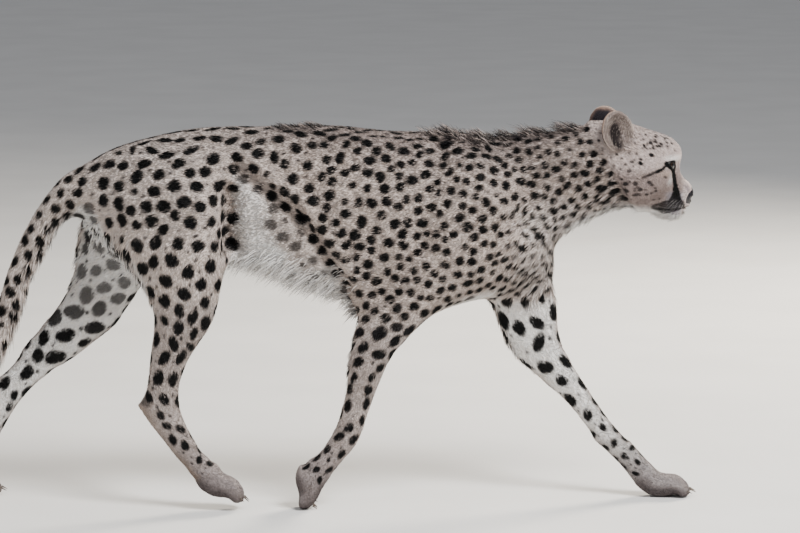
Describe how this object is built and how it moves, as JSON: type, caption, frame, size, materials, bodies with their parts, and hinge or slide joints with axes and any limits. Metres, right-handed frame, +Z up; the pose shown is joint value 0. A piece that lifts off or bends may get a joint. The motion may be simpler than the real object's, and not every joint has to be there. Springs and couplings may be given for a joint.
{
  "type": "cheetah",
  "caption": "Life-size still cheetah in a long walking stride, head low and level, one foreleg reaching forward, long tail hanging behind.",
  "frame": {"origin": "on the floor, at the middle of the underside of the whole animal's box", "axes": "+X the way the animal walks, towards its nose; +Y its left side; +Z up"},
  "size_m": [1.7442, 0.2854, 0.8363],
  "materials": {
    "coat": "short matte fur with black spots",
    "pale_coat": "soft white fur",
    "nose_leather": "moist dark leather",
    "eye": "wet amber eye",
    "claw": "polished dark horn"
  },
  "bodies": {
    "root": {"trunk": "coat", "neck": "coat", "head": "coat", "nose": "nose_leather", "tail_base": "coat", "tail_middle": "coat", "tail_end": "pale_coat", "forearm_right": "coat", "pastern_fore_right": "coat", "paw_fore_right": "coat", "thigh_right": "coat", "shank_right": "coat", "pastern_hind_right": "coat", "paw_hind_right": "coat", "forearm_left": "coat", "pastern_fore_left": "coat", "paw_fore_left": "coat", "thigh_left": "coat", "shank_left": "coat", "pastern_hind_left": "coat", "paw_hind_left": "coat", "ear_left": "coat", "eye_left": "eye", "ear_right": "coat", "eye_right": "eye", "claw_fore_right_1": "claw", "claw_fore_right_2": "claw", "claw_fore_right_3": "claw", "claw_fore_right_4": "claw", "claw_fore_left_1": "claw", "claw_fore_left_2": "claw", "claw_fore_left_3": "claw", "claw_fore_left_4": "claw", "claw_hind_right_1": "claw", "claw_hind_right_2": "claw", "claw_hind_right_3": "claw", "claw_hind_right_4": "claw", "claw_hind_left_1": "claw", "claw_hind_left_2": "claw", "claw_hind_left_3": "claw", "claw_hind_left_4": "claw"}
  },
  "joints": []
}
